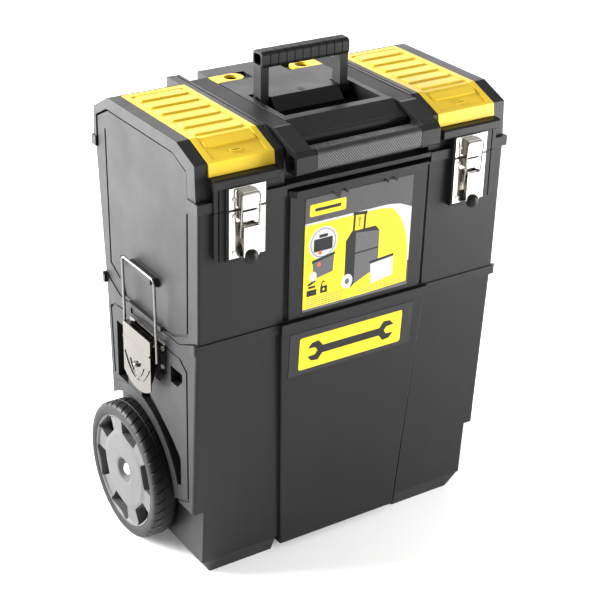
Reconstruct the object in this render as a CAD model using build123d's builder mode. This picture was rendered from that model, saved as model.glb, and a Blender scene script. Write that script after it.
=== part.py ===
"""Rolling tool box: a wheeled bin, a lift-off tool box and a lid that carries the handles.

Millimetres. +Z is up, the front faces -Y and X runs along the width. The origin is on the
floor, under the centre of the bounding box. Pieces that come in pairs are made by functions
that take side = -1 (left) or +1 (right).
"""

import os
from math import atan2, degrees, sqrt

from build123d import *

os.makedirs("parts", exist_ok=True)

# Overall
SIDES = {"left": -1, "right": 1}
WALL = 3.0
OVERALL_HALF_DEPTH = 140.5

# Wheels and axle
AXLE_Y, AXLE_Z = 41.0, 90.0
AXLE_RADIUS = 5.0
WHEEL_RADIUS = 90.0
TYRE_BORE = 78.5
WHEEL_INNER_X, WHEEL_OUTER_X = 205.0, 236.0
ARCH_RADIUS = 100.0
SPOKE_WINDOWS, SPOKE_START = 6, 43.0

# Bin
BIN_X = 215.0
BIN_RIM_X = 219.0
BIN_RIM_Z, BIN_RIM_LIP = 338.0, 12.0
BIN_FLOOR_Z = 22.0
BIN_SILL_Z = 11.0
BIN_FRONT_LOW, BIN_FRONT_HIGH = -102.0, -118.0
BIN_REAR_LOW, BIN_REAR_HIGH = 95.0, 110.0
BIN_STEP_X, BIN_STEP_Z = 201.0, 100.0
RIM_FRONT, RIM_REAR = -121.0, 113.0
DIP_Z = 320.5
DIP_LINE = [(109.5, BIN_RIM_Z), (71.7, DIP_Z), (-75.8, DIP_Z), (-116.5, BIN_RIM_Z)]
ARCH_RING = 115.0
CRESCENT = [
    (22, 200),
    (20, 214),
    (10, 225),
    (-8, 213.5),
    (-32, 199),
    (-55, 184),
    (-76.5, 166),
    (-76.5, 127),
    (-64, 123),
    (0, 150),
]
FOOT_X = (95.0, 187.0)
FOOT_Y = (-94.6, -38.0)
PANEL_LOW_X, PANEL_HIGH_X = 88.0, 105.0
PANEL_LOW_Y, PANEL_HIGH_Y = -104.5, -124.5

# Tool box
BOX_X = 214.0
BOX_BASE_Z, BOX_TOP_Z = 338.4, 500.5
BOX_FRONT_LOW, BOX_FRONT_HIGH = -119.6, -121.5
BOX_REAR_LOW, BOX_REAR_HIGH = 112.0, 127.0
SKIRT_X, SKIRT_Z = 209.3, 329.0
LATCH_RECESS = [(50, 384), (-28, 384), (-47.5, 376.5), (-47.5, 343)]
LATCH_RECESS += [(-38, 326), (60, 326), (69, 345), (69, 376)]
BOX_PANEL_X = 97.0
BOX_PANEL_LOW, BOX_PANEL_HIGH = (341.0, -122.8), (498.0, -124.8)
LATCH_BLOCK_FRONT = -129.0

# Lid
LID_X = 215.0
LID_BASE_Z, LID_TOP_Z = 501.2, 571.0
BAND_X, BAND_TOP_Z = 216.8, 513.5
BAND_FRONT, BAND_REAR = -124.6, 131.0
LID_PROFILE = [
    (-118.0, LID_BASE_Z),
    (-118.0, BAND_TOP_Z),
    (-115.6, 555.7),
    (-76.4, LID_TOP_Z),
    (89.0, LID_TOP_Z),
    (126.0, 550.0),
    (128.0, BAND_TOP_Z),
    (128.0, LID_BASE_Z),
]
HINGE_Y, HINGE_Z = 134.5, 505.0
KNUCKLE_RADIUS = 6.0
HINGE_PIN_RADIUS = 2.5
BODY_KNUCKLES = [(-170, -140), (-60, -30), (30, 60), (140, 170)]
LID_KNUCKLES = [(-139, -109), (-29, 29), (109, 139)]
GABLE_FRONT_RADIUS = 233.0
GABLE_TOP_Z, GABLE_REAR_Y = 554.0, 118.0
GABLE_GAP = 2.4

# Organizer wings
WING_X = (113.5, 198.5)
WING_REAR_Y = 88.0
WING_HINGE_Y, WING_HINGE_Z = 82.0, 567.5
WING_LIP_Z = 540.0
WELL_FLOOR_Z = 529.0
WELL_SPANS = [(-104.0, -46.0), (-43.5, 17.0), (19.5, 76.0)]

# Carry handle and its pit
POST_X = 56.0
CARRY_Y, CARRY_Z = 5.0, 563.0
CARRY_TOP_Z = 627.0
GRIP_HALF = 61.5
PIT_X, PIT_FLOOR_Z = 67.5, 546.0
RIBS = 11

# Fold-over pull handle
RAIL_X = 88.0
RAIL_WIDTH, RAIL_HEIGHT = 23.0, 15.5
RAIL_Z = 562.75
RAIL_PIVOT_Y = 95.0
RAIL_FRONT_Y = -86.0
BAR_WIDTH, BAR_HEIGHT = 16.0, 9.0
BAR_REAR_Y = 76.0
PULL_GRIP_Y = (-OVERALL_HALF_DEPTH, -117.0)
PULL_GRIP_Z = (528.5, 555.0)
PULL_GRIP_HALF = 72.0

# Front latches
LATCH_X = 156.5
LATCH_PLATE_HALF = 23.5
LATCH_PIVOT = (-134.7, 481.0)
LATCH_WIRE_Z = 469.0

# Side latches
SIDE_PIVOT_X, SIDE_PIVOT_Z = 225.0, 303.0
SIDE_WIRE_Z, SIDE_WIRE_HALF = 281.0, 39.8
SIDE_LEVER_HALF = 34.5
SIDE_EAR = [
    (216.6, 288.0),
    (226.0, 296.0),
    (229.0, 300.5),
    (229.3, 303.0),
    (228.5, 306.0),
    (226.0, 307.4),
    (222.5, 306.8),
    (216.6, 303.5),
]


def save(builder, label):
    """Name a finished piece and write it."""
    builder.part.label = label
    export_step(builder.part, f"parts/{label}.step")


def block(x, y, z, mode=Mode.ADD):
    """A box between two limits on each axis, given in either order."""
    spans = [tuple(sorted(limits)) for limits in (x, y, z)]
    with Locations(tuple((low + high) / 2 for low, high in spans)):
        Box(*(high - low for low, high in spans), mode=mode)


def prism_x(points, x, mode=Mode.ADD):
    """A prism along X with an outline of (y, z) points."""
    with BuildSketch(Plane.YZ.offset(x[0])) as outline:
        with BuildLine():
            Polyline(*points, close=True)
        make_face()
    extrude(outline.sketch, amount=x[1] - x[0], mode=mode)


def prism_y(points, y, mode=Mode.ADD):
    """A prism along Y with an outline of (x, z) points."""
    with BuildSketch(Plane.XZ.offset(-y[0])) as outline:
        with BuildLine():
            Polyline(*points, close=True)
        make_face()
    extrude(outline.sketch, amount=y[0] - y[1], mode=mode)


def rod_x(x, y, z, radius, mode=Mode.ADD):
    """A round bar along X between two limits."""
    with Locations(Location(((x[0] + x[1]) / 2, y, z), (0, 90, 0))):
        Cylinder(radius, abs(x[1] - x[0]), mode=mode)


def rod_y(x, y, z, radius, mode=Mode.ADD):
    """A round bar along Y between two limits."""
    with Locations(Location((x, (y[0] + y[1]) / 2, z), (90, 0, 0))):
        Cylinder(radius, abs(y[1] - y[0]), mode=mode)


def taper(low, high, radius, mode=Mode.ADD):
    """A loft between two rounded rectangles, each (z, x limits, y limits)."""
    outlines = []
    for z, (x_min, x_max), (y_min, y_max) in (low, high):
        with BuildSketch(Plane.XY.offset(z)) as outline:
            with Locations(((x_min + x_max) / 2, (y_min + y_max) / 2)):
                RectangleRounded(x_max - x_min, y_max - y_min, radius)
        outlines.append(outline.sketch)
    loft(outlines, mode=mode)


def on_side(side, low, high):
    """X limits on one side of the object."""
    return side * low, side * high


def groove_x(points, side, x, width, depth):
    """A narrow groove along a (y, z) line, cut into the outer face at x."""
    with BuildSketch(Plane.YZ.offset(side * (x + 1))) as track:
        with BuildLine():
            Polyline(*points)
        trace(line_width=width)
    extrude(track.sketch, amount=-side * (depth + 1), mode=Mode.SUBTRACT)


def wheel_ring(inner, outer, start, span, x, mode=Mode.ADD):
    """Part of a ring about the axle, between two radii and two angles from +Y."""
    with BuildSketch(Plane.YZ.offset(x[0])) as ring:
        with BuildLine():
            far = CenterArc((AXLE_Y, AXLE_Z), outer, start, span)
            near = CenterArc((AXLE_Y, AXLE_Z), inner, start, span)
            Line(far @ 0, near @ 0)
            Line(far @ 1, near @ 1)
        make_face()
    extrude(ring.sketch, amount=x[1] - x[0], mode=mode)


def ring_of_revolution(points, side, mode=Mode.ADD):
    """Turn (x, radius) points about the axle on one side."""
    centre = Plane.XY.offset(AXLE_Z)
    with BuildSketch(centre) as profile:
        with BuildLine():
            Polyline(*[(side * x, AXLE_Y + radius) for x, radius in points], close=True)
        make_face()
    axis = Axis((0, AXLE_Y, AXLE_Z), (1, 0, 0))
    revolve(profile.sketch, axis=axis, mode=mode)


def gable_outline(gap):
    """The end gable's outline, with a front edge that is an arc about the lid hinge."""
    radius = GABLE_FRONT_RADIUS + gap
    corner_z = 542.0 + gap
    base_z = 490.0
    corner_y = HINGE_Y - sqrt(radius**2 - (corner_z - HINGE_Z) ** 2)
    base_y = HINGE_Y - sqrt(radius**2 - (base_z - HINGE_Z) ** 2)
    top = GABLE_TOP_Z + gap
    rear = GABLE_REAR_Y + gap
    with BuildLine() as line:
        RadiusArc((base_y, base_z), (corner_y, corner_z), radius)
        Polyline(
            (corner_y, corner_z),
            (-66.0 - gap / 2, top),
            (91.0 + gap / 2, top),
            (rear, 540.0 + gap / 2),
            (rear, base_z),
            (base_y, base_z),
        )
    return line.line


def gable_prism(gap, x, mode=Mode.ADD):
    """The gable outline, grown by a gap, as a prism along X."""
    edge = gable_outline(gap)
    with BuildSketch(Plane.YZ.offset(x[0])) as outline:
        with BuildLine():
            add(edge)
        make_face()
    extrude(outline.sketch, amount=x[1] - x[0], mode=mode)


def knuckles(spans, arm_y, arm_z):
    """Hinge knuckles at the rear seam, with the arms that join them to a wall."""
    for span in spans:
        rod_x(span, HINGE_Y, HINGE_Z, KNUCKLE_RADIUS)
        block(span, arm_y, arm_z)


def wire(points, radii, gauge):
    """A bent wire: straight runs joined by arcs."""
    with BuildLine() as path:
        FilletPolyline(*points, radius=radii)
    start = path.line @ 0
    with BuildSketch(Plane(origin=start, z_dir=path.line % 0)) as section:
        Circle(gauge)
    sweep(section.sketch, path=path.line)


# ---------------------------------------------------------------- Bin


def crescent(grow, x, mode):
    """The pocket in front of the wheel arch, or the same shape grown for its walls."""
    inner = ARCH_RING - grow
    with BuildSketch(Plane.YZ.offset(x[0])) as pocket:
        with BuildLine():
            Polyline(*CRESCENT, close=True)
        make_face()
        if grow:
            offset(amount=grow, kind=Kind.INTERSECTION)
        with Locations((AXLE_Y, AXLE_Z)):
            Circle(inner, mode=Mode.SUBTRACT)
    extrude(pocket.sketch, amount=x[1] - x[0], mode=mode)


def bin_cavity_part():
    """The inside of the bin, kept clear of the wheel arches, pockets and side steps."""
    with BuildPart() as cavity:
        taper(
            (BIN_FLOOR_Z + WALL, (-212.0, 212.0), (-99.0, 92.0)),
            (BIN_RIM_Z + 2, (-212.0, 212.0), (-115.1, 107.1)),
            5.0,
        )
        block((-89, 89), (-98, 90), (BIN_SILL_Z + WALL, BIN_FLOOR_Z + WALL + 1))
        for side in SIDES.values():
            inner = BIN_STEP_X - WALL
            block(on_side(side, inner, 216), (-130, 130), (0, BIN_STEP_Z + WALL), Mode.SUBTRACT)
            rod_x(on_side(side, inner, 216), AXLE_Y, AXLE_Z, ARCH_RADIUS + WALL, Mode.SUBTRACT)
            crescent(WALL, on_side(side, 203, 216), Mode.SUBTRACT)
            block(on_side(side, 200, 216), (53, 86), (201, 285), Mode.SUBTRACT)
            block(on_side(side, 200, 216), (-86, -52), (259, 287), Mode.SUBTRACT)
        rod_x((-200, 200), AXLE_Y, AXLE_Z, 9.0, Mode.SUBTRACT)
    return cavity.part


bin_cavity = bin_cavity_part()

with BuildPart() as bin_shell:
    taper(
        (BIN_FLOOR_Z, (-BIN_X, BIN_X), (BIN_FRONT_LOW, BIN_REAR_LOW)),
        (BIN_RIM_Z, (-BIN_X, BIN_X), (BIN_FRONT_HIGH, BIN_REAR_HIGH)),
        4.0,
    )
    taper(
        (BIN_RIM_Z - BIN_RIM_LIP, (-BIN_RIM_X, BIN_RIM_X), (RIM_FRONT, RIM_REAR)),
        (BIN_RIM_Z, (-BIN_RIM_X, BIN_RIM_X), (RIM_FRONT, RIM_REAR)),
        4.0,
    )
    # Raised centre panel, wider at the top, with its own lip
    taper(
        (BIN_SILL_Z, (-PANEL_LOW_X, PANEL_LOW_X), (PANEL_LOW_Y, BIN_REAR_LOW - 2)),
        (BIN_FLOOR_Z + 1, (-PANEL_LOW_X - 0.6, PANEL_LOW_X + 0.6), (-105.2, BIN_REAR_LOW)),
        2.0,
    )
    taper(
        (BIN_FLOOR_Z, (-PANEL_LOW_X - 0.6, PANEL_LOW_X + 0.6), (-105.2, -80.0)),
        (BIN_RIM_Z + 1, (-PANEL_HIGH_X, PANEL_HIGH_X), (PANEL_HIGH_Y, -110.0)),
        2.0,
    )
    block((-PANEL_HIGH_X - 1, PANEL_HIGH_X + 1), (-127.5, -118), (BIN_RIM_Z - 12, BIN_RIM_Z + 1))
    block((-BIN_RIM_X - 1, BIN_RIM_X + 1), (RIM_FRONT + 0.6, 120), (BIN_RIM_Z, 350), Mode.SUBTRACT)
    for side in SIDES.values():
        # The rim band only turns the corners; the sides dip in the middle
        block(on_side(side, BIN_X, 225), (RIM_FRONT + 8, RIM_REAR - 8), (300, 350), Mode.SUBTRACT)
        prism_x(DIP_LINE + [(-116.5, 350), (109.5, 350)], on_side(side, 200, 225), Mode.SUBTRACT)
        # Lower sides step in to make room for the wheels
        block(on_side(side, BIN_STEP_X, 225), (-130, 130), (0, BIN_STEP_Z), Mode.SUBTRACT)
        rod_x(on_side(side, BIN_STEP_X, 225), AXLE_Y, AXLE_Z, ARCH_RADIUS, Mode.SUBTRACT)
        # Front foot with chamfered front and outer faces
        taper(
            (0.0, sorted(on_side(side, *FOOT_X)), FOOT_Y),
            (BIN_FLOOR_Z + 0.5, sorted(on_side(side, 93, BIN_STEP_X - 1)), (-102.2, -36.0)),
            2.0,
        )
        block(on_side(side, 103, 181), (-86, -46), (-1, 18), Mode.SUBTRACT)
        # Shadow line under the rim lip
        block(on_side(side, 109, 212), (-119.5, -116.7), (323.9, 326.0), Mode.SUBTRACT)
        # Narrow channel beside the centre panel
        taper(
            (BIN_FLOOR_Z - 2, sorted(on_side(side, 88.6, 92)), (-110, -100.5)),
            (BIN_RIM_Z - 12, sorted(on_side(side, 104.4, 108.4)), (-126, -116.0)),
            0.5,
            Mode.SUBTRACT,
        )
    add(bin_cavity, mode=Mode.SUBTRACT)
    for side in SIDES.values():
        # Recesses beside the side latch and the crescent in front of the wheel arch
        block(on_side(side, 203, 225), (56, 83), (204, 282), Mode.SUBTRACT)
        prism_x(
            [(-55, 284), (-83, 284), (-83, 274), (-71, 262), (-55, 262)],
            on_side(side, 203, 225),
            Mode.SUBTRACT,
        )
        crescent(0, on_side(side, 206, 225), Mode.SUBTRACT)
        block(on_side(side, 213.2, 225), (-38, 44), (309.5, 325), Mode.SUBTRACT)
        wheel_ring(113.2, 114.6, 62, 101, on_side(side, 214, 215.8))
        rod_x(on_side(side, BIN_STEP_X, 204.6), AXLE_Y, AXLE_Z, 14.0)
        groove_x([(-42, 302), (-77, 303.5), (-94, 292), (-94, 114), (-62, 99)], side, BIN_X, 3.4, 2.0)
        groove_x([(62, 306), (84, 304), (97, 296), (92, 204)], side, BIN_X, 3.4, 2.0)
    rod_x((-206, 206), AXLE_Y, AXLE_Z, AXLE_RADIUS, Mode.SUBTRACT)
save(bin_shell, "bin_shell")

with BuildPart() as axle:
    rod_x((-229, 229), AXLE_Y, AXLE_Z, AXLE_RADIUS)
    chamfer(axle.edges().filter_by(GeomType.CIRCLE), 0.8)
save(axle, "axle")

CAP_PROFILE = [
    (224.4, AXLE_RADIUS),
    (224.4, 9.0),
    (226.0, 9.0),
    (229.0, 7.8),
    (231.2, 4.8),
    (231.8, 0.0),
    (229.05, 0.0),
    (229.05, AXLE_RADIUS),
]

with BuildPart() as axle_caps:
    for side in SIDES.values():
        ring_of_revolution(CAP_PROFILE, side)
save(axle_caps, "axle_caps")


# ---------------------------------------------------------------- Wheels


def make_tyre(side):
    """Plastic tyre with rounded shoulders and a centre groove."""
    profile = [
        (WHEEL_INNER_X, TYRE_BORE),
        (WHEEL_INNER_X, 86.5),
        (207.2, 89.2),
        (210.0, WHEEL_RADIUS),
        (219.2, WHEEL_RADIUS),
        (220.0, 88.6),
        (221.4, 88.6),
        (222.2, WHEEL_RADIUS),
        (230.5, WHEEL_RADIUS),
        (233.6, 89.0),
        (235.4, 86.6),
        (WHEEL_OUTER_X, 83.0),
        (235.2, TYRE_BORE),
    ]
    with BuildPart() as tyre:
        ring_of_revolution(profile, side)
    return tyre


def make_rim(side):
    """Wheel core: an outer band, a web and a hub that turns on the axle."""
    bore = AXLE_RADIUS + 0.06
    profile = [
        (205.0, bore),
        (205.0, 15.0),
        (209.0, 18.0),
        (209.0, 74.0),
        (206.0, 74.5),
        (206.0, TYRE_BORE),
        (234.4, TYRE_BORE),
        (234.4, 74.5),
        (213.0, 74.0),
        (213.0, 18.0),
        (216.0, 15.0),
        (224.0, 14.0),
        (224.0, bore),
    ]
    with BuildPart() as rim:
        ring_of_revolution(profile, side)
    return rim


def make_hub_cover(side):
    """Dished cover with deep tapered windows and a recessed centre."""
    profile = [
        (224.2, 9.6),
        (224.2, 14.0),
        (229.4, 17.0),
        (229.4, 44.0),
        (221.0, 48.0),
        (221.0, 73.9),
        (234.8, 73.9),
        (234.0, 71.8),
        (232.0, 70.0),
        (232.0, 54.0),
        (233.4, 47.0),
        (233.6, 20.0),
        (232.8, 16.8),
        (226.8, 13.6),
        (226.8, 9.6),
    ]
    with BuildPart() as cover:
        ring_of_revolution(profile, side)
        for index in range(SPOKE_WINDOWS):
            angle = SPOKE_START + index * 360 / SPOKE_WINDOWS
            with BuildSketch(Plane.YZ.offset(side * 219)) as window:
                with Locations(Location((AXLE_Y, AXLE_Z, 0), angle)):
                    with Locations((60.5, 0)):
                        Trapezoid(45, 20, 71, rotation=90)
                fillet(window.vertices(), 2.5)
            extrude(window.sketch, amount=side * 20, mode=Mode.SUBTRACT)
    return cover


for name, side in SIDES.items():
    save(make_tyre(side), f"wheel_tyre_{name}")
    save(make_rim(side), f"wheel_rim_{name}")
    save(make_hub_cover(side), f"wheel_hub_cover_{name}")


# ---------------------------------------------------------------- Side latches


def make_side_base(side):
    """Base plate on the bin with two ears for the lever pin."""
    with BuildPart() as base:
        prism_x(
            [(-44, 306), (44, 306), (44, 268), (30, 250), (-30, 250), (-44, 268)],
            on_side(side, 215, 216.6),
        )
        for end in (-1, 1):
            prism_y([(side * x, z) for x, z in SIDE_EAR], (end * 31.5, end * 33.0))
        rod_y(side * SIDE_PIVOT_X, (-36, 36), SIDE_PIVOT_Z, 2.0, Mode.SUBTRACT)
        for y, z in ((-39, 275), (39, 275), (0, 257), (-39, 299), (39, 299)):
            rod_x(on_side(side, 214, 218), y, z, 1.6, Mode.SUBTRACT)
    return base


def make_side_lever(side):
    """Pressed lever: curved face plate, cheeks and a closed top edge."""
    half = SIDE_LEVER_HALF
    with BuildPart() as lever:
        with BuildSketch(Plane.YZ.offset(side * 229.8)) as face:
            with BuildLine():
                Line((-half, 308), (half, 308))
                Line((half, 308), (half, 242))
                ThreePointArc((half, 242), (0, 229), (-half, 242))
                Line((-half, 242), (-half, 308))
            make_face()
        extrude(face.sketch, amount=side * 1.2)
        for end in (-1, 1):
            prism_y(
                [(side * 229.8, 308), (side * 222.5, 307), (side * 221, 300)]
                + [(side * 221.0, 276), (side * 229.8, 250)],
                (end * (half - 1.2), end * half),
            )
        block(on_side(side, 223.0, 230), (-31, 31), (306.8, 308))
        # Pressed step across the face under the rolled top edge
        block(on_side(side, 230.6, 232.2), (-half + 1, half - 1), (287, 290))
        # Raised triangular mark below the staple
        prism_x([(-8, 252), (8, 252), (0, 241)], on_side(side, 230.9, 231.6))
        rod_y(side * SIDE_PIVOT_X, (-40, 40), SIDE_PIVOT_Z, 2.06, Mode.SUBTRACT)
        rod_y(side * SIDE_PIVOT_X, (-40, 40), SIDE_WIRE_Z, 1.78, Mode.SUBTRACT)
        for end in (-1, 1):
            rod_x(on_side(side, 229, 233), end * 4.0, 264, 1.4, Mode.SUBTRACT)
    return lever


def make_staple(side):
    """Wire staple on the lever that takes a small padlock."""
    x_root, x_loop = side * 228.6, side * 234.6
    points = [(x_root, -4, 264), (x_loop, -4, 264), (x_loop, 4, 264), (x_root, 4, 264)]
    with BuildPart() as staple:
        wire(points, [2.6, 2.6], 1.4)
    return staple


def make_side_bail(side):
    """Wire bail of the side latch, from the lever to above the tool box ledge."""
    low_x, top_x = side * SIDE_PIVOT_X, side * 226.6
    points = [
        (low_x, -31.8, SIDE_WIRE_Z),
        (low_x, -SIDE_WIRE_HALF, SIDE_WIRE_Z),
        (top_x, -SIDE_WIRE_HALF, 391.0),
        (top_x, SIDE_WIRE_HALF, 391.0),
        (low_x, SIDE_WIRE_HALF, SIDE_WIRE_Z),
        (low_x, 31.8, SIDE_WIRE_Z),
    ]
    with BuildPart() as bail:
        wire(points, [3.0, 6.0, 6.0, 3.0], 1.7)
    return bail


for name, side in SIDES.items():
    save(make_side_base(side), f"side_latch_base_{name}")
    save(make_side_lever(side), f"side_latch_lever_{name}")
    save(make_staple(side), f"padlock_staple_{name}")
    save(make_side_bail(side), f"side_latch_bail_{name}")

with BuildPart() as side_latch_pins:
    for side in SIDES.values():
        rod_y(side * SIDE_PIVOT_X, (-35.8, 35.8), SIDE_PIVOT_Z, 2.0)
        for y, z in ((-39, 275), (39, 275), (0, 257), (-39, 299), (39, 299)):
            rod_x(on_side(side, 215, 216.6), y, z, 1.6)
            rod_x(on_side(side, 216.6, 217.8), y, z, 2.8)
save(side_latch_pins, "side_latch_pins")


# ---------------------------------------------------------------- Tool box

with BuildPart() as toolbox_shell:
    taper(
        (BOX_BASE_Z, (-BOX_X, BOX_X), (BOX_FRONT_LOW, BOX_REAR_LOW)),
        (BOX_TOP_Z, (-BOX_X, BOX_X), (BOX_FRONT_HIGH, BOX_REAR_HIGH)),
        3.0,
    )
    taper(
        (SKIRT_Z, (-SKIRT_X, SKIRT_X), (-112.5, 104.0)),
        (BOX_BASE_Z + 1, (-SKIRT_X, SKIRT_X), (-112.5, 104.0)),
        5.0,
    )
    # Raised centre panel and the shelf above it
    panel_low_z, panel_low_y = BOX_PANEL_LOW
    panel_high_z, panel_high_y = BOX_PANEL_HIGH
    taper(
        (panel_low_z, (-BOX_PANEL_X + 2, BOX_PANEL_X - 2), (panel_low_y, -117.0)),
        (panel_high_z, (-BOX_PANEL_X, BOX_PANEL_X), (panel_high_y, -119.0)),
        1.0,
    )
    with BuildSketch(Plane.XY.offset(497.5)) as shelf:
        with BuildLine():
            Polyline((-98, -119), (-98, -123), (-91, -130), (91, -130), (98, -123), (98, -119), close=True)
        make_face()
    extrude(shelf.sketch, amount=8.0)
    for side in SIDES.values():
        # Skirt that fills the dip of the bin rim
        prism_x([(109, 340), (71.5, 321.1), (-75.6, 321.1), (-116, 340)], on_side(side, 206.3, BOX_X))
        # Latch block, stepped back at its outer end
        block_outline = [(131, 500.5), (197, 500.5), (197, 446), (191, 440), (131, 440)]
        prism_y([(side * x, z) for x, z in block_outline], (LATCH_BLOCK_FRONT, -118))
        block(on_side(side, 183, 200), (-135, -126.4), (430, 510), Mode.SUBTRACT)
        block(on_side(side, 190, 191.6), (-135, -123.4), (430, 510), Mode.SUBTRACT)
        # Narrow channel beside the centre panel
        taper(
            (BOX_BASE_Z + 2, sorted(on_side(side, 97.4, 101.6)), (-126, -118.0)),
            (497.4, sorted(on_side(side, 97.8, 102.0)), (-128, -119.9)),
            0.5,
            Mode.SUBTRACT,
        )
        # Shallow recess behind the side latch, and the ledge for its wire
        prism_x(LATCH_RECESS, on_side(side, 212.4, 220), Mode.SUBTRACT)
        prism_y(
            [(side * 211.5, 372), (side * 216, 374), (side * 224.2, 379.5)]
            + [(side * 224.2, 385.5), (side * 211.5, 385.5)],
            (-25, 36),
        )
        # Bar along the lower edge, under the latch recess
        block(on_side(side, 209, 218.5), (-38, 44), (321.1, 326.6))
    # Inside
    taper(
        (SKIRT_Z + WALL, (-206.3, 206.3), (-109.5, 101.0)),
        (342.0, (-206.3, 206.3), (-109.5, 101.0)),
        3.0,
        Mode.SUBTRACT,
    )
    taper(
        (341.4, (-211.0, 211.0), (-116.6, 109.2)),
        (BOX_TOP_Z + 0.1, (-211.0, 211.0), (-118.5, 124.0)),
        4.0,
        Mode.SUBTRACT,
    )
    for side in SIDES.values():
        gable_prism(0.0, on_side(side, 211, BOX_X))
        block(on_side(side, 204, 211.5), (-90, 90), (432, 439.6))
        groove_x([(-97.4, 494), (-95, 341), (-64, 327.5), (-40, 324)], side, BOX_X, 3.4, 2.0)
        groove_x([(99, 530), (95, 357), (72, 345)], side, BOX_X, 3.4, 2.0)
    knuckles(BODY_KNUCKLES, (124.5, HINGE_Y), (492, HINGE_Z))
    rod_x((-175, 175), HINGE_Y, HINGE_Z, HINGE_PIN_RADIUS, Mode.SUBTRACT)
save(toolbox_shell, "toolbox_shell")


# ---------------------------------------------------------------- Front latches


def make_latch_base(side):
    """Base plate on the tool box with a raised channel and two ears."""
    centre = side * LATCH_X
    pivot_y, pivot_z = LATCH_PIVOT
    half = LATCH_PLATE_HALF
    with BuildPart() as base:
        block((centre - half, centre + half), (-130.2, -129), (443, 500))
        block((centre - 10, centre + 10), (-137.5, -130.2), (488.5, 500))
        for end in (-1, 1):
            prism_x(
                [(-130.2, 474), (-136, 477), (-137, 481), (-136.5, 483.2)]
                + [(-134.7, 484.3), (-132.9, 483.6), (-130.2, 483.6)],
                (centre + end * 7.0, centre + end * 8.4),
            )
            for z in (450, 494):
                rod_y(centre + end * 17, (-131, -128), z, 1.6, Mode.SUBTRACT)
        rod_x((centre - 9, centre + 9), pivot_y, pivot_z, 1.5, Mode.SUBTRACT)
    return base


def make_latch_keeper(side):
    """Keeper plate on the lid with a raised nose that the wire lies on."""
    centre = side * LATCH_X
    half = LATCH_PLATE_HALF
    with BuildPart() as keeper:
        block((centre - half, centre + half), (-130.2, -129), (502.4, 527.4))
        prism_x(
            [(-130.2, 502.4), (-137.5, 502.4), (-137.5, 519), (-135.5, 523), (-130.2, 523)],
            (centre - 10, centre + 10),
        )
        for end in (-1, 1):
            rod_y(centre + end * 17, (-131, -128), 514, 1.6, Mode.SUBTRACT)
    return keeper


def make_latch_lever(side):
    """Channel lever: a web with two cheeks."""
    centre = side * LATCH_X
    pivot_y, pivot_z = LATCH_PIVOT
    with BuildPart() as lever:
        block((centre - 10, centre + 10), (-139.7, -138.5), (446, 482))
        for end in (-1, 1):
            prism_x(
                [(-138.5, 483.5), (-132.6, 483.5), (-131.2, 477), (-132.6, 463), (-138.5, 452)],
                (centre + end * 8.8, centre + end * 10),
            )
        rod_x((centre - 11, centre + 11), pivot_y, pivot_z, 1.56, Mode.SUBTRACT)
        rod_x((centre - 11, centre + 11), pivot_y, LATCH_WIRE_Z, 1.08, Mode.SUBTRACT)
    return lever


def make_latch_tip(side, lever):
    """Round plastic finger tip pushed over the end of the lever."""
    centre = side * LATCH_X
    with BuildPart() as tip:
        with Locations(Location((centre, -138.6, 448), (0, 0, 0))):
            Cylinder(6.4, 16, arc_size=360)
        block((centre - 8, centre + 8), (-134.6, -130), (438, 458), Mode.SUBTRACT)
        block((centre - 8, centre + 8), (-150, -OVERALL_HALF_DEPTH), (438, 458), Mode.SUBTRACT)
        fillet(tip.faces().sort_by(Axis.Z)[0].edges(), 1.6)
        add(lever.part, mode=Mode.SUBTRACT)
    return tip


def make_latch_bail(side):
    """Wire bail of a front latch."""
    centre = side * LATCH_X
    pivot_y = LATCH_PIVOT[0]
    low, high = (pivot_y, LATCH_WIRE_Z), (-139.1, 521.6)
    points = [
        (centre - 8.2, *low),
        (centre - 11.8, *low),
        (centre - 11.8, *high),
        (centre + 11.8, *high),
        (centre + 11.8, *low),
        (centre + 8.2, *low),
    ]
    with BuildPart() as bail:
        wire(points, [1.6, 3.0, 3.0, 1.6], 1.0)
    return bail


for name, side in SIDES.items():
    save(make_latch_base(side), f"latch_base_{name}")
    save(make_latch_keeper(side), f"latch_keeper_{name}")
    latch_lever = make_latch_lever(side)
    save(latch_lever, f"latch_lever_{name}")
    save(make_latch_tip(side, latch_lever), f"latch_tip_{name}")
    save(make_latch_bail(side), f"latch_bail_{name}")


def rivets(spots, name):
    """Round-headed rivets through the front latch plates, as one group."""
    with BuildPart() as group:
        for x, z in spots:
            rod_y(x, (-130.2, -129), z, 1.6)
            rod_y(x, (-131.2, -130.2), z, 2.8)
    save(group, name)


rivet_x = [side * LATCH_X + end * 17 for side in SIDES.values() for end in (-1, 1)]
rivets([(x, 514) for x in rivet_x], "latch_keeper_rivets")

with BuildPart() as latch_pins:
    for side in SIDES.values():
        rod_x((side * LATCH_X - 10.6, side * LATCH_X + 10.6), *LATCH_PIVOT, 1.5)
    for x in rivet_x:
        for z in (450, 494):
            rod_y(x, (-130.2, -129), z, 1.6)
            rod_y(x, (-131.2, -130.2), z, 2.8)
save(latch_pins, "latch_pins")


# ---------------------------------------------------------------- Lid

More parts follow.
